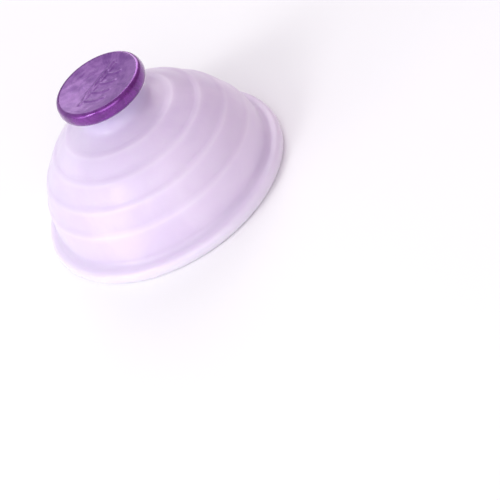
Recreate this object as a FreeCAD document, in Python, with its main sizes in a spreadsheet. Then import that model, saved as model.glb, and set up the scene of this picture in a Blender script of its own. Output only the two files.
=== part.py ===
"""Silicone cupping cup with a turning knob, a stem through the neck and a pressure tip inside.

The cup stands on its sealing rim: Z runs up the cup's axis and Z = 0 is the rim's flat underside.
Every piece is turned about that axis, so each one is a half outline revolved through a full turn.
Lengths are in millimetres and angles in degrees.
"""

import FreeCAD, Part

import math
import os

from Sketcher import Constraint

DOCUMENT = "cupping_cup"
SHEET = "Sizes"
RIDGES = 4
# An edge this near to a corner is the edge that stands there
SAME_PLACE = 1e-3

# Driving dimensions. A height is measured up from the underside of the rim.
SIZES = {
    # Sealing rim and mouth of the silicone cup
    "rim_radius": 35.0,
    "rim_height": 3.8,
    "rim_round": 1.6,
    "rim_notch_round": 1.8,
    "mouth_radius": 27.7,
    "lip_round": 1.6,
    # Outer dome: half an ellipse, with one terrace edge at each of the evenly spaced angles
    "dome_radius": 31.8,
    "dome_rise": 28.4,
    "dome_base": 3.5,
    "first_ridge_angle": 19.0,
    "ridge_pitch": 13.7,
    "step_depth": 0.5,
    "step_angle": 3.0,
    "band_bend": 22.0,
    "ridge_round": 0.6,
    "notch_round": 0.8,
    # Inside of the cup: a straight mouth under half an ellipsoid with a flat crown
    "cavity_shoulder": 7.0,
    "cavity_rise": 19.5,
    "crown_height": 26.0,
    # Waisted neck that carries the knob
    "neck_foot_radius": 10.2,
    "neck_foot_height": 30.2,
    "neck_top_radius": 8.9,
    "neck_top_height": 35.4,
    "neck_bend": 7.0,
    "foot_round": 4.0,
    # Bush in the neck
    "bush_radius": 4.5,
    "bush_rib_radius": 5.4,
    "bush_rib_low": 30.2,
    "bush_rib_high": 31.8,
    "bush_flange_radius": 6.6,
    "bush_flange_thickness": 0.8,
    "soft_gap": 0.1,
    "running_gap": 0.05,
    # Knob head and its hollow stem
    "stem_radius": 2.5,
    "knob_foot_radius": 11.4,
    "knob_foot_height": 35.5,
    "knob_widest_radius": 12.6,
    "knob_widest_height": 37.3,
    "knob_top_radius": 11.9,
    "knob_top_height": 39.8,
    "knob_lip_round": 0.25,
    "recess_radius": 11.3,
    "recess_height": 37.6,
    # Dished face pressed into the knob head
    "face_radius": 11.27,
    "face_edge_height": 39.6,
    "face_bend": 50.0,
    "peg_radius": 1.4,
    "peg_length": 1.1,
    # Seal washer between the bush and the tip
    "washer_radius": 4.3,
    "washer_thickness": 0.8,
    # Pressure tip and the spigot that snaps into the stem
    "tip_radius": 3.4,
    "tip_skirt": 0.8,
    "tip_length": 4.6,
    "tip_nose_radius": 1.25,
    "tip_nose_round": 0.4,
    "spigot_radius": 1.5,
    "spigot_length": 4.2,
    "snap_lift": 0.2,
    "snap_start": 2.2,
    "snap_length": 1.2,
    # Rod magnet in the stem
    "magnet_radius": 1.45,
    "magnet_length": 4.0,
    # How far a cut runs on past the material that it goes through
    "overrun": 1.0,
}

# Sizes that follow from the driving ones, in the order the sheet works them out.
DERIVED = {
    "groove_radius": "dome_radius - step_depth",
    "seat_radius": "bush_radius + soft_gap",
    "seat_rib_radius": "bush_rib_radius + soft_gap",
    "seat_rib_low": "bush_rib_low - soft_gap",
    "seat_rib_high": "bush_rib_high + soft_gap",
    "seat_flange_radius": "bush_flange_radius + soft_gap",
    "flange_low": "neck_top_height - bush_flange_thickness",
    "seat_flange_low": "flange_low - soft_gap",
    "seat_start": "crown_height - overrun",
    "seat_end": "neck_top_height + overrun",
    "bush_bore": "stem_radius + running_gap",
    "knob_under_bend": "((knob_widest_radius - knob_foot_radius) ^ 2"
    " + (knob_widest_height - knob_foot_height) ^ 2) / (2 * (knob_widest_radius - knob_foot_radius))",
    "knob_side_bend": "((knob_widest_radius - knob_top_radius) ^ 2"
    " + (knob_top_height - knob_widest_height) ^ 2) / (2 * (knob_widest_radius - knob_top_radius))",
    "washer_top": "crown_height - soft_gap",
    "tip_top": "washer_top - washer_thickness",
    "stem_bore": "spigot_radius + running_gap",
    "snap_radius": "spigot_radius + snap_lift",
    "snap_bore": "snap_radius + running_gap",
    "snap_low": "tip_top + snap_start",
    "snap_high": "snap_low + snap_length",
    "spigot_top": "tip_top + spigot_length",
    "magnet_low": "spigot_top + soft_gap",
    "magnet_top": "magnet_low + magnet_length",
    "stem_bore_top": "magnet_top + soft_gap",
    "skirt_low": "tip_top - tip_skirt",
    "nose_low": "tip_top - tip_length",
    "face_middle_height": "face_edge_height - face_bend + sqrt(face_bend ^ 2 - face_radius ^ 2)",
    "peg_low": "recess_height - peg_length",
    "peg_bore": "peg_radius + running_gap",
    "peg_bore_low": "peg_low - soft_gap",
}


def make_sheet(doc):
    """Fills the sheet with the driving sizes and the formulas of the ones that follow from them."""
    sheet = doc.addObject("Spreadsheet::Sheet", SHEET)
    cells = {name: str(value) for name, value in SIZES.items()}
    for name, formula in {**DERIVED, **ridge_formulas()}.items():
        cells[name] = f"={formula}"
    for row, (name, content) in enumerate(cells.items(), start=1):
        sheet.set(f"A{row}", name)
        sheet.setAlias(f"B{row}", name)
        sheet.set(f"B{row}", content)
    doc.recompute()
    return sheet


def ridge_formulas():
    """Places each terrace edge on the dome, and the notch above it a step inside the dome."""
    formulas = {}
    for k in range(RIDGES):
        edge = f"((first_ridge_angle + {k} * ridge_pitch) * 1 deg)"
        notch = f"((first_ridge_angle + {k} * ridge_pitch + step_angle) * 1 deg)"
        formulas[f"ridge_{k}_radius"] = f"dome_radius * cos{edge}"
        formulas[f"ridge_{k}_height"] = f"dome_base + dome_rise * sin{edge}"
        formulas[f"notch_{k}_radius"] = f"(dome_radius - step_depth) * cos{notch}"
        formulas[f"notch_{k}_height"] = f"dome_base + (dome_rise - step_depth) * sin{notch}"
    return formulas


def size(body, name):
    """The sheet's value of that name, or 0 for None."""
    return 0.0 if name is None else float(body.Document.getObject(SHEET).get(name))


def make_body(doc, name):
    body = doc.addObject("PartDesign::Body", name)
    body.Label = name
    return body


def origin_plane(body, role):
    return next(feature for feature in body.Origin.OriginFeatures if feature.Role == role)


def bind(sketch, label, name, kind, *points):
    """Adds a dimension to the sketch and ties it to the sheet."""
    value = float(sketch.Document.getObject(SHEET).get(name))
    index = sketch.addConstraint(Constraint(kind, *points, value))
    sketch.renameConstraint(index, label)
    sketch.setExpression(f"Constraints.{label}", f"{SHEET}.{name}")


def arc_centre(here, there, radius, hollow):
    """Centre of the arc between two corners: on the outline's inner side, or its outer side if hollow."""
    chord = there - here
    inward = FreeCAD.Vector(-chord.y, chord.x, 0).normalize()
    if hollow:
        inward = inward * -1
    return (here + there) * 0.5 + inward * math.sqrt(radius**2 - chord.Length**2 / 4)


def add_side(sketch, here, there, radius, hollow):
    """Draws one side of an outline and returns it with the numbers of its first and last point."""
    if radius is None:
        return sketch.addGeometry(Part.LineSegment(here, there)), 1, 2
    centre = arc_centre(here, there, radius, hollow)
    first, last = (there, here) if hollow else (here, there)
    begin, end = (math.atan2(p.y - centre.y, p.x - centre.x) for p in (first, last))
    if end < begin:
        end += 2 * math.pi
    circle = Part.Circle(centre, FreeCAD.Vector(0, 0, 1), radius)
    side = sketch.addGeometry(Part.ArcOfCircle(circle, begin, end))
    return (side, 2, 1) if hollow else (side, 1, 2)


def half_outline(body, name, corners):
    """Closed sketch on the body's XZ plane, its corners listed anticlockwise.

    A corner is (radius, height), names in the sheet, or None for the axis and for the rim's underside.
    Two more entries, (bend radius, hollow), turn the side that follows the corner into an arc.
    """
    sketch = body.newObject("Sketcher::SketchObject", name)
    sketch.AttachmentSupport = (origin_plane(body, "XZ_Plane"), "")
    sketch.MapMode = "FlatFace"
    points = [FreeCAD.Vector(size(body, corner[0]), size(body, corner[1]), 0) for corner in corners]
    sides = []
    for i, corner in enumerate(corners):
        bend, hollow = corner[2:] if len(corner) == 4 else (None, False)
        radius = None if bend is None else size(body, bend)
        sides.append(add_side(sketch, points[i], points[(i + 1) % len(points)], radius, hollow))
        if bend is not None:
            bind(sketch, f"bend_{i}", bend, "Radius", sides[i][0])
    for i, corner in enumerate(corners):
        side, begin, _ = sides[i]
        previous, _, end = sides[i - 1]
        sketch.addConstraint(Constraint("Coincident", previous, end, side, begin))
        if corner[0] is None:
            sketch.addConstraint(Constraint("PointOnObject", side, begin, -2))
        else:
            bind(sketch, f"across_{i}", corner[0], "DistanceX", -1, 1, side, begin)
        if corner[1] is None:
            sketch.addConstraint(Constraint("PointOnObject", side, begin, -1))
        else:
            bind(sketch, f"up_{i}", corner[1], "DistanceY", -1, 1, side, begin)
    return sketch


def turned(body, name, corners, kind="PartDesign::Revolution"):
    """Revolves a half outline about Z: material, or a cut where kind is a groove."""
    sketch = half_outline(body, f"{name}_outline", corners)
    feature = body.newObject(kind, name)
    feature.Profile = sketch
    feature.ReferenceAxis = (sketch, ["V_Axis"])
    feature.Angle = 360
    body.Document.recompute()
    return feature


def rounded(body, name, radius, corners):
    """Fillets the circular edges of the body that stand at the given (radius, height) corners."""
    base = body.Tip
    chosen = []
    for corner in corners:
        across, up = size(body, corner[0]), size(body, corner[1])
        for number, edge in enumerate(base.Shape.Edges, start=1):
            if not isinstance(edge.Curve, Part.Circle):
                continue
            if math.dist((edge.Curve.Radius, edge.Curve.Center.z), (across, up)) < SAME_PLACE:
                chosen.append(f"Edge{number}")
    if len(chosen) < len(corners):
        raise RuntimeError(f"{name}: only {len(chosen)} of {len(corners)} edges found")
    fillet = body.newObject("PartDesign::Fillet", name)
    fillet.Base = (base, chosen)
    fillet.setExpression("Radius", f"{SHEET}.{radius}")
    body.Document.recompute()


def silicone_cup(doc):
    """The cup itself: wide sealing rim, terraced dome, waisted neck, hollow inside and the bush's seat."""
    body = make_body(doc, "silicone_cup")
    edges = [(f"ridge_{k}_radius", f"ridge_{k}_height") for k in range(RIDGES)]
    notches = [(f"notch_{k}_radius", f"notch_{k}_height") for k in range(RIDGES)]
    rim = ("rim_radius", "rim_height")
    groove = ("groove_radius", "rim_height")
    foot = ("neck_foot_radius", "neck_foot_height")
    corners = [(None, None), ("rim_radius", None), rim]
    for start, edge in zip([groove, *notches], edges):
        corners += [(*start, "band_bend", False), edge]
    corners += [notches[-1], (*foot, "neck_bend", True), ("neck_top_radius", "neck_top_height")]
    corners += [(None, "neck_top_height")]
    turned(body, "bell", corners)
    hollow_out(body)
    turned(body, "bush_seat", bush_seat(), "PartDesign::Groove")
    rounded(body, "ridge_rounds", "ridge_round", edges)
    rounded(body, "notch_rounds", "notch_round", notches)
    rounded(body, "rim_notch_rounds", "rim_notch_round", [groove])
    rounded(body, "foot_rounds", "foot_round", [foot])
    rounded(body, "rim_rounds", "rim_round", [("rim_radius", None), rim])
    rounded(body, "lip_rounds", "lip_round", [("mouth_radius", None)])


def hollow_out(body):
    """Cuts the cavity: a straight mouth and, above it, half an ellipsoid cut off flat at the crown."""
    mouth = body.newObject("PartDesign::SubtractiveCylinder", "mouth")
    mouth.setExpression("Radius", f"{SHEET}.mouth_radius")
    mouth.setExpression("Height", f"{SHEET}.cavity_shoulder")
    body.Document.recompute()
    dome = body.newObject("PartDesign::SubtractiveEllipsoid", "cavity_dome")
    dome.AttachmentSupport = (origin_plane(body, "XY_Plane"), "")
    dome.MapMode = "FlatFace"
    dome.Angle1 = 0
    dome.setExpression("AttachmentOffset.Base.z", f"{SHEET}.cavity_shoulder")
    dome.setExpression("Radius1", f"{SHEET}.cavity_rise")
    dome.setExpression("Radius2", f"{SHEET}.mouth_radius")
    dome.setExpression("Radius3", f"{SHEET}.mouth_radius")
    cut_off = f"({SHEET}.crown_height - {SHEET}.cavity_shoulder) / {SHEET}.cavity_rise"
    dome.setExpression("Angle2", f"asin({cut_off})")
    body.Document.recompute()


def bush_seat():
    """Outline of the bore through the neck, with a groove for the bush's rib and a step for its flange."""
    return [
        (None, "seat_start"),
        ("seat_radius", "seat_start"),
        ("seat_radius", "seat_rib_low"),
        ("seat_rib_radius", "seat_rib_low"),
        ("seat_rib_radius", "seat_rib_high"),
        ("seat_radius", "seat_rib_high"),
        ("seat_radius", "seat_flange_low"),
        ("seat_flange_radius", "seat_flange_low"),
        ("seat_flange_radius", "seat_end"),
        (None, "seat_end"),
    ]


def neck_bush(doc):
    """Ribbed sleeve held in the neck, in which the knob's stem turns."""
    body = make_body(doc, "neck_bush")
    corners = [
        ("bush_bore", "crown_height"),
        ("bush_radius", "crown_height"),
        ("bush_radius", "bush_rib_low"),
        ("bush_rib_radius", "bush_rib_low"),
        ("bush_rib_radius", "bush_rib_high"),
        ("bush_radius", "bush_rib_high"),
        ("bush_radius", "flange_low"),
        ("bush_flange_radius", "flange_low"),
        ("bush_flange_radius", "neck_top_height"),
        ("bush_bore", "neck_top_height"),
    ]
    turned(body, "sleeve", corners)


def knob(doc):
    """Round-edged head with a recess for its face, and the hollow stem below it.

    Both arcs of the head's side stand upright where they meet, at its widest.
    """
    body = make_body(doc, "knob")
    corners = [
        ("stem_bore", "tip_top"),
        ("stem_radius", "tip_top"),
        ("stem_radius", "knob_foot_height"),
        ("knob_foot_radius", "knob_foot_height", "knob_under_bend", False),
        ("knob_widest_radius", "knob_widest_height", "knob_side_bend", False),
        ("knob_top_radius", "knob_top_height"),
        ("recess_radius", "knob_top_height"),
        ("recess_radius", "recess_height"),
        ("peg_bore", "recess_height"),
        ("peg_bore", "peg_bore_low"),
        (None, "peg_bore_low"),
        (None, "stem_bore_top"),
        ("stem_bore", "stem_bore_top"),
        ("stem_bore", "snap_high"),
        ("snap_bore", "snap_high"),
        ("snap_bore", "snap_low"),
        ("stem_bore", "snap_low"),
    ]
    turned(body, "head_and_stem", corners)
    lip = [("knob_top_radius", "knob_top_height"), ("recess_radius", "knob_top_height")]
    rounded(body, "lip_rounds", "knob_lip_round", lip)


def knob_face(doc):
    """Dished disc pressed into the head, with a peg that centres it."""
    body = make_body(doc, "knob_face")
    corners = [
        (None, "peg_low"),
        ("peg_radius", "peg_low"),
        ("peg_radius", "recess_height"),
        ("face_radius", "recess_height"),
        ("face_radius", "face_edge_height", "face_bend", True),
        (None, "face_middle_height"),
    ]
    turned(body, "disc", corners)


def seal_washer(doc):
    """Soft ring squeezed between the bush and the tip, which keeps air out of the cup."""
    body = make_body(doc, "seal_washer")
    corners = [
        ("bush_bore", "tip_top"),
        ("washer_radius", "tip_top"),
        ("washer_radius", "washer_top"),
        ("bush_bore", "washer_top"),
    ]
    turned(body, "ring", corners)


def pressure_tip(doc):
    """Blunt cone that presses on the skin, with a spigot that snaps into the stem."""
    body = make_body(doc, "pressure_tip")
    corners = [
        (None, "nose_low"),
        ("tip_nose_radius", "nose_low"),
        ("tip_radius", "skirt_low"),
        ("tip_radius", "tip_top"),
        ("spigot_radius", "tip_top"),
        ("spigot_radius", "snap_low"),
        ("snap_radius", "snap_low"),
        ("snap_radius", "snap_high"),
        ("spigot_radius", "snap_high"),
        ("spigot_radius", "spigot_top"),
        (None, "spigot_top"),
    ]
    turned(body, "cone_and_spigot", corners)
    rounded(body, "nose_round", "tip_nose_round", [("tip_nose_radius", "nose_low")])


def rod_magnet(doc):
    """Rod magnet standing in the stem above the tip's spigot."""
    body = make_body(doc, "rod_magnet")
    corners = [
        (None, "magnet_low"),
        ("magnet_radius", "magnet_low"),
        ("magnet_radius", "magnet_top"),
        (None, "magnet_top"),
    ]
    turned(body, "rod", corners)


def write_parts(doc):
    """Checks every object and writes each body to its own STEP file."""
    doc.recompute()
    for item in doc.Objects:
        if "Invalid" in item.State or "Error" in item.State:
            raise RuntimeError(f"{item.Label}: {item.State}")
    os.makedirs("parts", exist_ok=True)
    for body in doc.findObjects("PartDesign::Body"):
        shape = body.Shape
        if shape.isNull() or not shape.isValid() or len(shape.Solids) != 1:
            raise RuntimeError(f"{body.Label}: not one valid solid")
        shape.exportStep(f"parts/{body.Label}.step")
        print(f"{body.Label}: {shape.Volume:.1f} mm3, {shape.BoundBox}")


def main():
    doc = FreeCAD.newDocument(DOCUMENT)
    make_sheet(doc)
    silicone_cup(doc)
    neck_bush(doc)
    knob(doc)
    knob_face(doc)
    seal_washer(doc)
    pressure_tip(doc)
    rod_magnet(doc)
    write_parts(doc)


main()
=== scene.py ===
"""A silicone cupping cup on its rim: milky soft wall, pearly purple knob and tip, on a pale floor.

Everything is turned about the cup's axis, so each piece is an outline of (radius, height) points
swept round Z. Lengths are in metres. Sizes start from the boxes of the CAD nodes.
"""

import math

import bmesh
import bpy
import numpy as np
from mathutils import Euler, Matrix, Vector, noise


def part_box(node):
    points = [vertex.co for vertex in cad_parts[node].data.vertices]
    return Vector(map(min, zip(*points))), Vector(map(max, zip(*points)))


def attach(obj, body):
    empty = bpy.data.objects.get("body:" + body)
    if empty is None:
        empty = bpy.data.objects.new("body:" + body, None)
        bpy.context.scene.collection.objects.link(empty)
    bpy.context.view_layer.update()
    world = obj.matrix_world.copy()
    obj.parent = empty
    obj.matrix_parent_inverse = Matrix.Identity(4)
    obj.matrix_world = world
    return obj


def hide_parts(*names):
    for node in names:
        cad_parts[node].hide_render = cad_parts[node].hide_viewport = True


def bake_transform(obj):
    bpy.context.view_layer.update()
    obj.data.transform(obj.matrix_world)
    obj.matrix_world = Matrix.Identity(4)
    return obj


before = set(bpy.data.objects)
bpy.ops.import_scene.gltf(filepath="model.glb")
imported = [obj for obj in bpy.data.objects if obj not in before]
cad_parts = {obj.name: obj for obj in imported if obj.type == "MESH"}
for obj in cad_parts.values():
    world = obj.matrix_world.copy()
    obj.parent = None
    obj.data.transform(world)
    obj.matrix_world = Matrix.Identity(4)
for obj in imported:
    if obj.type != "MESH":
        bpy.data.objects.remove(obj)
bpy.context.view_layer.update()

MM = 0.001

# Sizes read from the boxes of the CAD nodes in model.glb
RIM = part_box("silicone_cup")[1].x
NECK_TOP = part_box("silicone_cup")[1].z
KNOB_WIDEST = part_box("knob")[1].x
STEM_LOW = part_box("knob")[0].z
FACE_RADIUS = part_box("knob_face")[1].x
FACE_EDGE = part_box("knob_face")[1].z
PEG_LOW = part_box("knob_face")[0].z
TIP_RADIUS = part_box("pressure_tip")[1].x
NOSE_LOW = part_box("pressure_tip")[0].z
SPIGOT_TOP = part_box("pressure_tip")[1].z
BUSH_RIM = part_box("neck_bush")[1].x
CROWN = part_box("neck_bush")[0].z
WASHER_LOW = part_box("seal_washer")[0].z
MAGNET_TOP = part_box("rod_magnet")[1].z


# ---------------------------------------------------------------- outlines

# Spacing of an outline's points: in general, and across and along the hidden stem
FINE_STEP = 0.15 * MM
MIDDLE_STEP = 0.5 * MM
COARSE_STEP = 2 * MM
# Spacing at which an outline is softened
SOFTENING_STEP = 0.1 * MM


def stretch(start, end, bend=None, hollow=False, spacing=FINE_STEP):
    """Evenly spaced points from start up to, not including, end: a straight run, or an arc of radius bend
    that swells to the right of its direction, or to the left if hollow."""
    start, end = Vector(start), Vector(end)
    chord = end - start
    count = max(2, math.ceil(chord.length / spacing))
    if bend is None:
        return [start.lerp(end, i / count) for i in range(count)]
    side = Vector((chord.y, -chord.x)).normalized() * (-1 if hollow else 1)
    centre = (start + end) / 2 - side * math.sqrt(bend**2 - chord.length_squared / 4)
    half = math.asin(chord.length / 2 / bend)
    points = []
    for i in range(count):
        turn = half * (2 * i / count - 1)
        points.append(centre + bend * (side * math.cos(turn) + chord.normalized() * math.sin(turn)))
    return points


def ellipse_arc(centre_height, across, rise, start, end, count):
    """Points of an ellipse about the axis, from angle start up to, not including, end."""
    points = []
    for i in range(count):
        angle = start + (end - start) * i / count
        points.append(Vector((across * math.cos(angle), centre_height + rise * math.sin(angle))))
    return points


def softened(points, width):
    """The outline with its corners melted over about that width. Its two ends stay put."""
    at = np.array([tuple(p) for p in points])
    gaps = np.linalg.norm(np.diff(at, axis=0), axis=1)
    along = np.concatenate([[0], np.cumsum(gaps)])
    even = np.linspace(0, along[-1], int(along[-1] / SOFTENING_STEP))
    at = np.column_stack([np.interp(even, along, at[:, k]) for k in range(2)])
    reach = int(3 * width / SOFTENING_STEP)
    kernel = np.exp(-0.5 * (np.arange(-reach, reach + 1) * SOFTENING_STEP / width) ** 2)
    kernel /= kernel.sum()
    head = 2 * at[0] - at[reach:0:-1]
    tail = 2 * at[-1] - at[-2 : -reach - 2 : -1]
    padded = np.vstack([head, at, tail])
    smooth = np.column_stack([np.convolve(padded[:, k], kernel, "valid") for k in range(2)])
    return [Vector(p) for p in smooth]


def thinned(points, turn=math.radians(6), longest=1.4 * MM):
    """Drops points where the outline runs nearly straight, and keeps them where it turns."""
    kept, turned, run = [points[0]], 0.0, 0.0
    for before, here, after in zip(points, points[1:], points[2:]):
        run += (here - before).length
        turned += abs((here - before).angle_signed(after - here, 0.0))
        if turned > turn or run > longest:
            kept.append(here)
            turned, run = 0.0, 0.0
    return kept + [points[-1]]


# ---------------------------------------------------------------- meshes

# A point nearer to the axis than this lies on it
ON_AXIS = 1e-7
# Edges that turn by more than this stay sharp: on hard pieces, and on soft or finely ribbed ones
CREASE = math.radians(35)
WIDE_CREASE = math.radians(60)


def turned_mesh(name, outline, segments, closed=False, relief=None):
    """Sweeps an outline round Z. Points on the axis become one shared vertex.

    closed also joins the outline's end to its start. relief(spot) gives each vertex a small offset.
    """
    mesh = bpy.data.meshes.new(name)
    work = bmesh.new()
    rings = []
    for radius, height in outline:
        if radius < ON_AXIS:
            rings.append([work.verts.new((0, 0, height))])
            continue
        ring = []
        for i in range(segments):
            angle = 2 * math.pi * i / segments
            spot = Vector((radius * math.cos(angle), radius * math.sin(angle), height))
            ring.append(work.verts.new(spot + relief(spot) if relief else spot))
        rings.append(ring)
    pairs = list(zip(rings, rings[1:]))
    if closed:
        pairs.append((rings[-1], rings[0]))
    for low, high in pairs:
        for i in range(segments):
            j = (i + 1) % segments
            corners = [low[i % len(low)], low[j % len(low)], high[j % len(high)], high[i % len(high)]]
            work.faces.new(list(dict.fromkeys(corners)))
    bmesh.ops.recalc_face_normals(work, faces=work.faces)
    work.to_mesh(mesh)
    work.free()
    for polygon in mesh.polygons:
        polygon.use_smooth = True
    keep_rest(mesh)
    piece = bpy.data.objects.new(name, mesh)
    bpy.context.scene.collection.objects.link(piece)
    return piece


def keep_rest(mesh):
    """Stores every vertex's place at rest, so that a material stays put on a wall that bends."""
    places = np.empty(len(mesh.vertices) * 3, np.float32)
    mesh.vertices.foreach_get("co", places)
    mesh.attributes.new("rest", "FLOAT_VECTOR", "POINT").data.foreach_set("vector", places)


def sharpened(piece, angle=CREASE):
    """Keeps the piece's real corners crisp under smooth shading."""
    work = bmesh.new()
    work.from_mesh(piece.data)
    for edge in work.edges:
        if len(edge.link_faces) == 2 and edge.calc_face_angle() > angle:
            edge.smooth = False
    work.to_mesh(piece.data)
    work.free()


# ---------------------------------------------------------------- silicone cup

CUP_SEGMENTS = 224

# Rim, the hollow above it, and the mouth's lip
RIM_HEIGHT = 0.1086 * RIM
RIM_ROUND = 1.6 * MM
RIM_NOTCH = 1.8 * MM
RIM_HOLLOW_BEND = 1.45 * RIM_NOTCH
LIP_ROUND = 1.6 * MM

# Inside: half an ellipse on a straight mouth
MOUTH = 0.7914 * RIM
SHOULDER = 0.2 * RIM
CAVITY_RISE = 0.557 * RIM
CAVITY_POINTS = 200

# Outside: half an ellipse, stepped in a little above each ridge
DOME_RADIUS = 0.9086 * RIM
DOME_RISE = 0.8114 * RIM
DOME_BASE = 0.1 * RIM
GROOVE_DEPTH = 0.5 * MM
RIDGE_ANGLES = [math.radians(19.0 + 13.7 * k) for k in range(4)]
STEP_TURN = math.radians(3.0)
STEP_DEPTH = 0.42 * MM
BAND_BEND = 26 * MM

# Waisted neck
NECK_FOOT = (0.2914 * RIM, 0.8531 * NECK_TOP)
NECK_EDGE = (0.254 * RIM, NECK_TOP)
NECK_BEND = 7 * MM
NECK_SOFTNESS = 0.8 * MM
WALL_SOFTNESS = 0.34 * MM

# Bush in the neck, and its seat with a gap all round
BUSH_RADIUS = 4.5 * MM
BUSH_FLANGE = 0.8 * MM
BUSH_RIB_RADIUS = 5.4 * MM
BUSH_RIB_LOW = 30.2 * MM
BUSH_RIB_HIGH = 31.8 * MM
SEAT_GAP = 0.12 * MM
SEAT_BORE = BUSH_RADIUS + SEAT_GAP
SEAT_RIM = BUSH_RIM + SEAT_GAP
SEAT_STEP = NECK_TOP - BUSH_FLANGE - SEAT_GAP
SEAT_RIB = BUSH_RIB_RADIUS + SEAT_GAP
SEAT_RIB_LOW = BUSH_RIB_LOW - SEAT_GAP
SEAT_RIB_HIGH = BUSH_RIB_HIGH + SEAT_GAP

# Soft unevenness of the wall: how deep, how many waves in a metre, and a shift into the noise
BROAD_SWELL = 0.30 * MM
BROAD_WAVES = 55
BROAD_SHIFT = Vector((3.1, 0.4, 7.7))
FINE_SWELL = 0.07 * MM
FINE_WAVES = 170
FINE_SHIFT = Vector((8.2, 5.5, 1.3))
# It fades in over this height above the floor, and out over the same height below its top
SWELL_FADE = 6 * MM
SWELL_TOP = 29 * MM

# A ridge's painted highlight, a pale line for the light its edge catches: how far inside the dome's surface
# it is centred, and how far it spreads
RIDGE_HIGHLIGHT_INSET = 0.15 * MM
RIDGE_HIGHLIGHT_SPREAD = 0.55 * MM


def dome_point(angle, depth=0.0):
    """The dome's outer surface at that angle above its base, or depth inside it."""
    across = (DOME_RADIUS - depth) * math.cos(angle)
    return Vector((across, DOME_BASE + (DOME_RISE - depth) * math.sin(angle)))


def dome_foot():
    """The bottom of the groove between the rim and the dome."""
    return Vector((DOME_RADIUS - GROOVE_DEPTH, RIM_HEIGHT + RIM_NOTCH))


def inside_outline():
    """From the bush out under the crown, down the cavity's wall and round the mouth's lip."""
    crown_angle = math.asin((CROWN - SHOULDER) / CAVITY_RISE)
    crown_edge = MOUTH * math.cos(crown_angle)
    points = stretch((SEAT_BORE, CROWN), (crown_edge, CROWN))
    points += ellipse_arc(SHOULDER, MOUTH, CAVITY_RISE, crown_angle, 0.0, CAVITY_POINTS)
    points += stretch((MOUTH, SHOULDER), (MOUTH, LIP_ROUND))
    points += stretch((MOUTH, LIP_ROUND), (MOUTH + LIP_ROUND, 0), LIP_ROUND)
    return points


def rim_outline():
    """Along the flat underside, round the rim and through the hollow above it to the dome's foot."""
    points = stretch((MOUTH + LIP_ROUND, 0), (RIM - RIM_ROUND, 0))
    points += stretch((RIM - RIM_ROUND, 0), (RIM, RIM_ROUND), RIM_ROUND)
    points += stretch((RIM, RIM_ROUND), (RIM, RIM_HEIGHT - RIM_ROUND))
    points += stretch((RIM, RIM_HEIGHT - RIM_ROUND), (RIM - RIM_ROUND, RIM_HEIGHT), RIM_ROUND)
    points += stretch((RIM - RIM_ROUND, RIM_HEIGHT), dome_foot(), RIM_HOLLOW_BEND, hollow=True)
    return points


def terrace_outline():
    """Up the bands and ridges of the dome and the waisted neck, and in over the neck's top to the seat."""
    points = []
    start = dome_foot()
    for angle in RIDGE_ANGLES:
        edge = dome_point(angle)
        notch = dome_point(angle + STEP_TURN, STEP_DEPTH)
        points += stretch(start, edge, BAND_BEND)
        points += stretch(edge, notch)
        start = notch
    neck = stretch(start, NECK_FOOT) + stretch(NECK_FOOT, NECK_EDGE, NECK_BEND, hollow=True)
    points += softened(neck, NECK_SOFTNESS)
    points += stretch(NECK_EDGE, (SEAT_RIM, NECK_TOP))
    points.append(Vector((SEAT_RIM, NECK_TOP)))
    return points


def seat_outline():
    """The bore in the neck, down past the bush's flange and rib."""
    corners = [(SEAT_RIM, SEAT_STEP), (SEAT_BORE, SEAT_STEP)]
    corners += [(SEAT_BORE, SEAT_RIB_HIGH), (SEAT_RIB, SEAT_RIB_HIGH)]
    corners += [(SEAT_RIB, SEAT_RIB_LOW), (SEAT_BORE, SEAT_RIB_LOW)]
    return [Vector(p) for p in corners]


def cup_relief(spot):
    """Soft moulded unevenness of the wall: none at the flat underside or in the neck."""
    share = min(1.0, spot.z / SWELL_FADE) * min(1.0, max(0.0, (SWELL_TOP - spot.z) / SWELL_FADE))
    outward = Vector((spot.x, spot.y, 0)).normalized()
    broad = noise.noise(spot * BROAD_WAVES + BROAD_SHIFT)
    fine = noise.noise(spot * FINE_WAVES + FINE_SHIFT)
    return outward * (BROAD_SWELL * broad + FINE_SWELL * fine) * share


def ridge_highlight_share(outline_point):
    """How near a spot of the wall is to a ridge, from 0 to 1: how much of the ridge's painted highlight it
    carries.
    """
    near = min((outline_point - dome_point(angle, RIDGE_HIGHLIGHT_INSET)).length for angle in RIDGE_ANGLES)
    return math.exp(-((near / RIDGE_HIGHLIGHT_SPREAD) ** 2))


def make_cup():
    wall = inside_outline() + rim_outline() + terrace_outline()
    outline = thinned(softened(wall, WALL_SOFTNESS)) + seat_outline()
    cup = turned_mesh("soft_cup", outline, CUP_SEGMENTS, closed=True, relief=cup_relief)
    # Painted highlight: each vertex stores its share of the pale line along the ridges' edges
    ridge = cup.data.attributes.new("ridge", "FLOAT", "POINT")
    for vertex, value in zip(cup.data.vertices, ridge.data):
        across = math.hypot(vertex.co.x, vertex.co.y)
        value.value = ridge_highlight_share(Vector((across, vertex.co.z)))
    return cup


# ---------------------------------------------------------------- knob

KNOB_SEGMENTS = 192

# Hollow stem with the magnet in it
STEM_RADIUS = 2.5 * MM
STEM_BORE = 1.55 * MM
STEM_BORE_TOP = MAGNET_TOP + 0.1 * MM

# Head: flat underside, its edge, the widest place, the shoulder, and the lip round the face
HEAD_LOW = NECK_TOP + 0.1 * MM
HEAD_FOOT = (KNOB_WIDEST - 1.2 * MM, HEAD_LOW)
HEAD_WIDEST = (KNOB_WIDEST, HEAD_LOW + 1.8 * MM)
HEAD_SHOULDER = (KNOB_WIDEST - 0.275 * MM, FACE_EDGE - 0.7 * MM)
UNDER_BEND = 1.95 * MM
SIDE_BEND = 4.8 * MM
SHOULDER_BEND = 1.1 * MM
HEAD_SOFTNESS = 0.08 * MM

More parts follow.
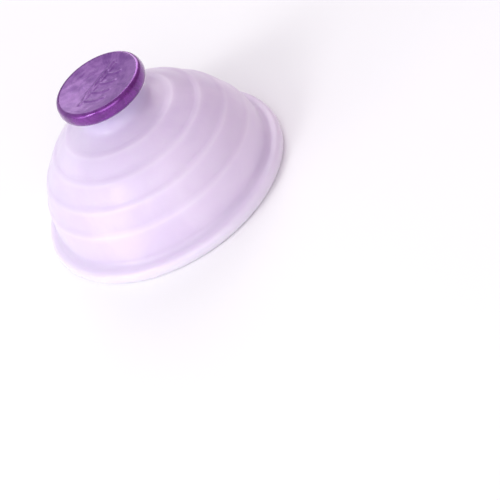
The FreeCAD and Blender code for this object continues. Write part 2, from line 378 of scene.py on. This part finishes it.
# Recess that the face sits in. Its wall is modelled finely as far down as it can show
RECESS_RADIUS = FACE_RADIUS + 0.02 * MM
RECESS_LIP = (RECESS_RADIUS, FACE_EDGE + 0.05 * MM)
RECESS_SHOWS = (RECESS_RADIUS, FACE_EDGE - 0.9 * MM)
FACE_THICKNESS = 2.0 * MM
FACE_BACK = FACE_EDGE - FACE_THICKNESS
PEG_BORE = 1.45 * MM
PEG_BORE_LOW = PEG_LOW - 0.1 * MM


def stem_outline():
    """From the top of the stem's bore down inside it, round its end and up outside to the head."""
    points = stretch((0, STEM_BORE_TOP), (STEM_BORE, STEM_BORE_TOP), spacing=MIDDLE_STEP)
    points += stretch((STEM_BORE, STEM_BORE_TOP), (STEM_BORE, STEM_LOW), spacing=COARSE_STEP)
    points += stretch((STEM_BORE, STEM_LOW), (STEM_RADIUS, STEM_LOW), spacing=MIDDLE_STEP)
    points += stretch((STEM_RADIUS, STEM_LOW), (STEM_RADIUS, HEAD_LOW), spacing=COARSE_STEP)
    return points


def head_outline():
    """Flat underside, rounded side and the thin lip round the face."""
    points = stretch((STEM_RADIUS, HEAD_LOW), HEAD_FOOT)
    points += stretch(HEAD_FOOT, HEAD_WIDEST, UNDER_BEND)
    points += stretch(HEAD_WIDEST, HEAD_SHOULDER, SIDE_BEND)
    points += stretch(HEAD_SHOULDER, RECESS_LIP, SHOULDER_BEND)
    points += stretch(RECESS_LIP, RECESS_SHOWS)
    points.append(Vector(RECESS_SHOWS))
    return thinned(softened(points, HEAD_SOFTNESS), longest=1.0 * MM)


def recess_outline():
    """The recess's floor and the bore for the face's peg."""
    corners = [(RECESS_RADIUS, FACE_BACK), (PEG_BORE, FACE_BACK), (PEG_BORE, PEG_BORE_LOW), (0, PEG_BORE_LOW)]
    return [Vector(p) for p in corners]


def make_knob():
    return turned_mesh("knob_head", stem_outline() + head_outline() + recess_outline(), KNOB_SEGMENTS)


# ---------------------------------------------------------------- knob's face

FACE_SEGMENTS = 256
FACE_RINGS = 84

PEG_RADIUS = 1.4 * MM
FACE_BEND = 50 * MM
# Steps that round the face's edge, each so far inward and so far down, and where its dish begins
EDGE_STEPS = ((0.0, 0.06 * MM), (0.04 * MM, 0.015 * MM))
DISH_INSET = 0.16 * MM

# Motif in low relief: how high its ribs stand, how far they spread, and points along each
RIB_HEIGHT = 0.23 * MM
RIB_SPREAD = 0.42 * MM
RIB_POINTS = 40
# Faint turned rings, 2 pi times this apart, and a roughness drawn out along X
RING_HEIGHT = 0.012 * MM
RING_SCALE = 0.28 * MM
ROUGH_HEIGHT = 0.04 * MM
ROUGH_WAVES = 420
ROUGH_STRETCH = 1.8
# The relief fades out over this width at the edge, and only the face's top carries it
RELIEF_FADE = 1.2 * MM
RELIEF_LOW = FACE_EDGE - 1.6 * MM


def leaf_ribs():
    """Curves of the motif: a stalk with four pairs of leaflets that get shorter along it. Each curve
    is a start, a control point and an end, in shares of the face's radius."""
    stalk = ((-0.62, -0.30), (-0.05, 0.10), (0.60, 0.34))
    ribs = [stalk]
    for share in (0.12, 0.34, 0.56, 0.78):
        root = curve_point(stalk, share)
        length = 0.40 - 0.20 * share
        for side in (-1, 1):
            knee = root + Vector((0.45 * length, side * 0.75 * length))
            leaf_tip = root + Vector((1.10 * length, side * 0.95 * length))
            ribs.append((root, knee, leaf_tip))
    return ribs


def curve_point(rib, t):
    """The point of a curve at t, from 0 at its start to 1 at its end."""
    start, control, end = (Vector(p) for p in rib)
    return start * (1 - t) ** 2 + control * 2 * t * (1 - t) + end * t**2


def face_relief():
    """A function that gives the offset of the face's low relief at a spot."""
    samples = []
    for rib in leaf_ribs():
        samples += [curve_point(rib, i / RIB_POINTS) * FACE_RADIUS for i in range(RIB_POINTS + 1)]
    samples = np.array([tuple(p) for p in samples])

    def offset(spot):
        if spot.z <= RELIEF_LOW:
            return Vector((0, 0, 0))
        across = math.hypot(spot.x, spot.y)
        near = math.sqrt(((samples - (spot.x, spot.y)) ** 2).sum(1).min())
        rib = RIB_HEIGHT * math.exp(-((near / RIB_SPREAD) ** 2))
        rings = RING_HEIGHT * math.cos(across / RING_SCALE)
        rough = ROUGH_HEIGHT * noise.noise(Vector((spot.x, spot.y * ROUGH_STRETCH, 0)) * ROUGH_WAVES)
        fade = min(1.0, max(0.0, (FACE_RADIUS - across) / RELIEF_FADE))
        return Vector((0, 0, (rib + rings + rough) * fade))

    return offset


def face_outline():
    """Peg, flat back, edge and dished top with enough rings to carry the relief."""
    corners = [(0, PEG_LOW), (PEG_RADIUS, PEG_LOW), (PEG_RADIUS, FACE_BACK), (FACE_RADIUS, FACE_BACK)]
    corners += [(FACE_RADIUS - inward, FACE_EDGE - down) for inward, down in EDGE_STEPS]
    rise = math.sqrt(FACE_BEND**2 - FACE_RADIUS**2)
    for i in range(FACE_RINGS):
        across = (FACE_RADIUS - DISH_INSET) * (1 - i / FACE_RINGS)
        sag = math.sqrt(FACE_BEND**2 - across**2) - rise
        corners.append((across, FACE_EDGE - sag))
    corners.append((0, FACE_EDGE - FACE_BEND + rise))
    return [Vector(p) for p in corners]


def make_face():
    return turned_mesh("dished_face", face_outline(), FACE_SEGMENTS, relief=face_relief())


# ---------------------------------------------------------------- pressure tip

TIP_SEGMENTS = 96

NOSE_RADIUS = 1.25 * MM
CONE_BEND = 16 * MM
SKIRT_LOW = WASHER_LOW - 0.8 * MM
SPIGOT_RADIUS = 1.5 * MM
TIP_SOFTNESS = 0.16 * MM


def tip_outline():
    """Blunt nose, cone, thin skirt and the spigot inside the stem."""
    points = stretch((0, NOSE_LOW), (NOSE_RADIUS, NOSE_LOW))
    points += stretch((NOSE_RADIUS, NOSE_LOW), (TIP_RADIUS, SKIRT_LOW), CONE_BEND)
    points += stretch((TIP_RADIUS, SKIRT_LOW), (TIP_RADIUS, WASHER_LOW))
    points += stretch((TIP_RADIUS, WASHER_LOW), (SPIGOT_RADIUS, WASHER_LOW))
    points.append(Vector((SPIGOT_RADIUS, WASHER_LOW)))
    cone = thinned(softened(points, TIP_SOFTNESS), longest=0.6 * MM)
    return cone + [Vector((SPIGOT_RADIUS, SPIGOT_TOP)), Vector((0, SPIGOT_TOP))]


def make_tip():
    return turned_mesh("cone_tip", tip_outline(), TIP_SEGMENTS)


# ---------------------------------------------------------------- materials

# Sockets of a Mix node: its two colours, and its result among the outputs
FIRST_COLOUR = 6
SECOND_COLOUR = 7
MIXED_COLOUR = 2


class Shader:
    """Short names for the nodes that the materials share."""

    def __init__(self, name):
        self.material = bpy.data.materials.new(name)
        self.material.use_nodes = True
        self.tree = self.material.node_tree
        self.surface = self.tree.nodes["Principled BSDF"]

    def add(self, kind, **settings):
        made = self.tree.nodes.new(kind)
        for key, value in settings.items():
            setattr(made, key, value)
        return made

    def link(self, source, target):
        self.tree.links.new(source, target)

    def fixed(self, **values):
        """Sets numbers and colours on the shader's own sockets."""
        for key, value in values.items():
            self.surface.inputs[key.replace("_", " ")].default_value = value

    def place(self, stored=True):
        """Where a spot is on the piece at rest, as keep_rest stored it, or in a rigid piece's own axes."""
        if stored:
            return self.add("ShaderNodeAttribute", attribute_name="rest").outputs["Vector"]
        return self.add("ShaderNodeTexCoord").outputs["Object"]

    def noise(self, where, scale, detail=3.0, roughness=0.5, distortion=0.0):
        """Clouds from 0 to 1, about scale of them in a metre."""
        cloud = self.add("ShaderNodeTexNoise")
        cloud.inputs["Scale"].default_value = scale
        cloud.inputs["Detail"].default_value = detail
        cloud.inputs["Roughness"].default_value = roughness
        cloud.inputs["Distortion"].default_value = distortion
        self.link(where, cloud.inputs["Vector"])
        return cloud.outputs["Fac"]

    def span(self, value, low, high, new_low=0.0, new_high=1.0):
        """Maps value smoothly from low..high to new_low..new_high, held at the ends."""
        mapped = self.add("ShaderNodeMapRange", interpolation_type="SMOOTHSTEP")
        mapped.inputs["From Min"].default_value = low
        mapped.inputs["From Max"].default_value = high
        mapped.inputs["To Min"].default_value = new_low
        mapped.inputs["To Max"].default_value = new_high
        self.link(value, mapped.inputs["Value"])
        return mapped.outputs["Result"]

    def blend(self, share, first, second):
        """Mixes two colours, each a colour or a socket."""
        mix = self.add("ShaderNodeMix", data_type="RGBA")
        self.link(share, mix.inputs["Factor"])
        for place, colour in ((FIRST_COLOUR, first), (SECOND_COLOUR, second)):
            if isinstance(colour, tuple):
                mix.inputs[place].default_value = (*colour, 1.0)
            else:
                self.link(colour, mix.inputs[place])
        return mix.outputs[MIXED_COLOUR]

    def bumps(self, *layers):
        """Stacks (height socket, depth in metres) layers into the surface's normal."""
        normal = None
        for height, depth in layers:
            bump = self.add("ShaderNodeBump")
            bump.inputs["Distance"].default_value = depth
            bump.inputs["Strength"].default_value = 1.0
            self.link(height, bump.inputs["Height"])
            if normal:
                self.link(normal, bump.inputs["Normal"])
            normal = bump.outputs["Normal"]
        self.link(normal, self.surface.inputs["Normal"])


def silicone():
    """Milky lilac silicone: light sinks in, a pale painted highlight along each ridge, rim pale, faint
    clouds, a satin moulded skin.
    """
    s = Shader("milky_silicone")
    where = s.place()
    split = s.add("ShaderNodeSeparateXYZ")
    s.link(where, split.inputs[0])
    height = split.outputs["Z"]
    clouds = s.span(s.noise(where, 45, detail=4, roughness=0.55, distortion=0.6), 0.35, 0.65)
    tint = s.blend(clouds, (0.705, 0.605, 0.785), (0.755, 0.655, 0.825))
    neck = s.span(height, 0.82 * NECK_TOP, 0.93 * NECK_TOP)
    tint = s.blend(neck, tint, (0.63, 0.545, 0.765))
    rim = s.span(height, 0.16 * NECK_TOP, 0.04 * NECK_TOP, 0.0, 0.75)
    tint = s.blend(rim, tint, (0.755, 0.715, 0.81))
    # Painted highlight: a pale line along each ridge stands in for the light its edge catches
    ridge = s.add("ShaderNodeAttribute", attribute_name="ridge").outputs["Fac"]
    tint = s.blend(s.span(ridge, 0.1, 1.0, 0.0, 0.18), tint, (0.92, 0.86, 0.96))
    s.link(tint, s.surface.inputs["Base Color"])
    s.link(s.span(s.noise(where, 260), 0.3, 0.7, 0.30, 0.38), s.surface.inputs["Roughness"])
    s.bumps((s.noise(where, 140), 0.12 * MM), (s.noise(where, 1400, detail=2, roughness=0.6), 0.02 * MM))
    s.fixed(
        Subsurface_Weight=1.0,
        Subsurface_Scale=4.2 * MM,
        Subsurface_Radius=(1.0, 0.85, 0.97),
        Specular_IOR_Level=0.5,
        Sheen_Weight=0.12,
        Sheen_Roughness=0.4,
    )
    return s.material


def pearly_plastic(name, dark, light, roughness, coat, metallic):
    """Purple moulded plastic with a pearl swirl and flakes in it and a clear gloss over it."""
    s = Shader(name)
    where = s.place()
    swirl = s.span(s.noise(where, 150, detail=4, roughness=0.6, distortion=1.8), 0.32, 0.68)
    tint = s.blend(swirl, dark, light)
    flakes = s.span(s.noise(where, 6000, detail=1), 0.62, 0.75, 0.0, 0.35)
    tint = s.blend(flakes, tint, tuple(min(1.0, 1.7 * c + 0.05) for c in light))
    s.link(tint, s.surface.inputs["Base Color"])
    rough = s.span(s.noise(where, 500), 0.3, 0.7, roughness - 0.05, roughness + 0.06)
    s.link(rough, s.surface.inputs["Roughness"])
    s.bumps((s.noise(where, 260), 0.04 * MM), (s.noise(where, 2500, detail=2), 0.008 * MM))
    s.fixed(Metallic=metallic, Coat_Weight=coat, Coat_Roughness=0.14, Specular_IOR_Level=0.25)
    return s.material


def knob_plastic():
    dark, light = (0.13, 0.011, 0.20), (0.21, 0.027, 0.305)
    return pearly_plastic("pearl_purple", dark, light, roughness=0.30, coat=0.9, metallic=0.75)


def face_plastic():
    dark, light = (0.160, 0.050, 0.255), (0.270, 0.118, 0.375)
    return pearly_plastic("pearl_face", dark, light, roughness=0.40, coat=0.15, metallic=0.35)


def tip_plastic():
    dark, light = (0.045, 0.008, 0.075), (0.085, 0.018, 0.13)
    return pearly_plastic("deep_purple", dark, light, roughness=0.22, coat=0.6, metallic=0.1)


def plain_plastic(name, dark, light, roughness):
    """Moulded plastic or rubber of a hidden piece, on a CAD mesh."""
    s = Shader(name)
    where = s.place(stored=False)
    clouds = s.span(s.noise(where, 300, detail=4, roughness=0.6, distortion=0.8), 0.3, 0.7)
    s.link(s.blend(clouds, dark, light), s.surface.inputs["Base Color"])
    rough = s.span(s.noise(where, 900), 0.3, 0.7, roughness - 0.06, roughness + 0.06)
    s.link(rough, s.surface.inputs["Roughness"])
    s.bumps((s.noise(where, 1500, roughness=0.6), 0.01 * MM))
    return s.material


def bush_plastic():
    return plain_plastic("bush_plastic_look", (0.33, 0.16, 0.42), (0.40, 0.21, 0.50), roughness=0.42)


def seal_rubber():
    return plain_plastic("seal_rubber_look", (0.30, 0.13, 0.36), (0.38, 0.19, 0.44), roughness=0.55)


def nickel():
    """Bright nickel plate with fine grinding marks round the rod."""
    s = Shader("nickel_plate")
    where = s.place(stored=False)
    stretched = s.add("ShaderNodeMapping")
    stretched.inputs["Scale"].default_value = (1.0, 1.0, 12.0)
    s.link(where, stretched.inputs["Vector"])
    marks = s.noise(stretched.outputs["Vector"], 700, detail=4, roughness=0.6)
    s.link(s.blend(marks, (0.62, 0.60, 0.56), (0.80, 0.78, 0.73)), s.surface.inputs["Base Color"])
    s.link(s.span(marks, 0.3, 0.7, 0.16, 0.30), s.surface.inputs["Roughness"])
    s.bumps((marks, 0.006 * MM))
    s.fixed(Metallic=1.0)
    return s.material


def pale_floor():
    """Matt white with very faint clouds."""
    s = Shader("pale_floor")
    where = s.place(stored=False)
    clouds = s.span(s.noise(where, 9), 0.3, 0.7)
    s.link(s.blend(clouds, (0.955, 0.955, 0.96), (0.97, 0.97, 0.975)), s.surface.inputs["Base Color"])
    s.fixed(Roughness=0.7, Specular_IOR_Level=0.2)
    return s.material


def give(piece, material):
    """The material that a new piece wears."""
    piece.data.materials.clear()
    piece.data.materials.append(material)


def give_node(node, material):
    """A better material on a CAD node that stays as it is."""
    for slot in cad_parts[node].material_slots:
        slot.material = material


# ---------------------------------------------------------------- pieces on their bodies


def add_cup():
    cup = make_cup()
    sharpened(cup, WIDE_CREASE)
    give(cup, silicone())
    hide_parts("silicone_cup")
    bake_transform(cup)


def add_knob():
    knob = make_knob()
    sharpened(knob)
    give(knob, knob_plastic())
    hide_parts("knob")
    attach(knob, "turning_knob")


def add_face():
    face = make_face()
    sharpened(face, WIDE_CREASE)
    give(face, face_plastic())
    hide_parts("knob_face")
    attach(face, "turning_knob")


def add_tip():
    tip = make_tip()
    sharpened(tip)
    give(tip, tip_plastic())
    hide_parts("pressure_tip")
    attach(tip, "turning_knob")


def dress_hidden_pieces():
    give_node("neck_bush", bush_plastic())
    give_node("seal_washer", seal_rubber())
    give_node("rod_magnet", nickel())


# ---------------------------------------------------------------- floor, light and camera

FLOOR_HALF = 2.0

# The pale room's brightness and tint on the cup's left and on its right
ROOM_LEFT = 0.86
ROOM_RIGHT = 0.39
ROOM_LEFT_TINT = (0.95, 0.975, 1.0, 1.0)
ROOM_RIGHT_TINT = (1.0, 0.64, 0.87, 1.0)
# The tint changes between directions whose share along X is this and 1
TINT_FROM = -0.2


def make_floor():
    mesh = bpy.data.meshes.new("floor")
    corners = [(-FLOOR_HALF, -FLOOR_HALF, 0), (FLOOR_HALF, -FLOOR_HALF, 0)]
    corners += [(FLOOR_HALF, FLOOR_HALF, 0), (-FLOOR_HALF, FLOOR_HALF, 0)]
    mesh.from_pydata(corners, [], [(0, 1, 2, 3)])
    floor = bpy.data.objects.new("floor", mesh)
    bpy.context.scene.collection.objects.link(floor)
    floor.data.materials.append(pale_floor())


def graded(tree, value, start, low, high):
    """Maps value evenly from start..1 to low..high, held at the ends."""
    ramp = tree.nodes.new("ShaderNodeMapRange")
    ramp.inputs["From Min"].default_value = start
    ramp.inputs["To Min"].default_value = low
    ramp.inputs["To Max"].default_value = high
    tree.links.new(value, ramp.inputs["Value"])
    return ramp.outputs["Result"]


def make_room():
    """Light from all round: brighter and cooler from the cup's left, dimmer and pinker from its right."""
    world = bpy.data.worlds.new("white_room")
    world.use_nodes = True
    tree = world.node_tree
    background = tree.nodes["Background"]
    towards = tree.nodes.new("ShaderNodeSeparateXYZ")
    tree.links.new(tree.nodes.new("ShaderNodeTexCoord").outputs["Generated"], towards.inputs[0])
    rightward = towards.outputs["X"]
    tree.links.new(graded(tree, rightward, -1.0, ROOM_LEFT, ROOM_RIGHT), background.inputs["Strength"])
    mix = tree.nodes.new("ShaderNodeMix")
    mix.data_type = "RGBA"
    mix.inputs[FIRST_COLOUR].default_value = ROOM_LEFT_TINT
    mix.inputs[SECOND_COLOUR].default_value = ROOM_RIGHT_TINT
    tree.links.new(graded(tree, rightward, TINT_FROM, 0.0, 1.0), mix.inputs["Factor"])
    tree.links.new(mix.outputs[MIXED_COLOUR], background.inputs["Color"])
    bpy.context.scene.world = world


def soft_light(name, place, aim_height, size, power):
    """A rectangular light that faces the cup's axis at aim_height."""
    data = bpy.data.lights.new(name, "AREA")
    data.shape = "RECTANGLE"
    data.size, data.size_y = size
    data.energy = power
    light = bpy.data.objects.new(name, data)
    light.location = place
    towards_cup = Vector((0, 0, aim_height)) - Vector(place)
    light.rotation_euler = towards_cup.to_track_quat("-Z", "Y").to_euler()
    bpy.context.scene.collection.objects.link(light)


def make_light():
    make_room()
    soft_light("key", (-0.52, -0.30, 0.47), aim_height=0.02, size=(0.2, 0.2), power=1.35)
    soft_light("low", (-0.78, -0.22, 0.24), aim_height=0.03, size=(0.45, 0.08), power=0.85)
    soft_light("fill", (-0.10, -0.65, 0.40), aim_height=0.02, size=(0.6, 0.5), power=1.8)
    soft_light("back", (0.24, 0.64, 0.50), aim_height=0.02, size=(0.5, 0.5), power=2.1)


# The camera stands this far from a point on the cup's axis, looks down this steeply, and leans
LOOK_HEIGHT = 20 * MM
CAMERA_DISTANCE = 452 * MM
CAMERA_ELEVATION = math.radians(32.8)
CAMERA_ROLL = math.radians(34.0)
# It aims to the right of that point and below it, so the cup stands up and left in the view
AIM_RIGHT = math.radians(3.905)
AIM_DOWN = math.radians(3.815)
LENS = 123.0
SENSOR_WIDTH = 36.0


def make_camera():
    data = bpy.data.cameras.new("camera")
    data.lens = LENS
    data.sensor_width = SENSOR_WIDTH
    camera = bpy.data.objects.new("camera", data)
    back = Vector((0, -math.cos(CAMERA_ELEVATION), math.sin(CAMERA_ELEVATION)))
    facing = (-back).to_track_quat("-Z", "Y").to_matrix()
    lean = Matrix.Rotation(-CAMERA_ROLL, 3, "Z")
    aim = Euler((-AIM_DOWN, -AIM_RIGHT, 0)).to_matrix()
    place = Matrix.Translation(Vector((0, 0, LOOK_HEIGHT)) + back * CAMERA_DISTANCE)
    camera.matrix_world = place @ (facing @ lean @ aim).to_4x4()
    bpy.context.scene.collection.objects.link(camera)
    bpy.context.scene.camera = camera


add_cup()
add_knob()
add_face()
add_tip()
dress_hidden_pieces()
make_floor()
make_light()
make_camera()
bpy.context.scene.view_settings.view_transform = "Standard"
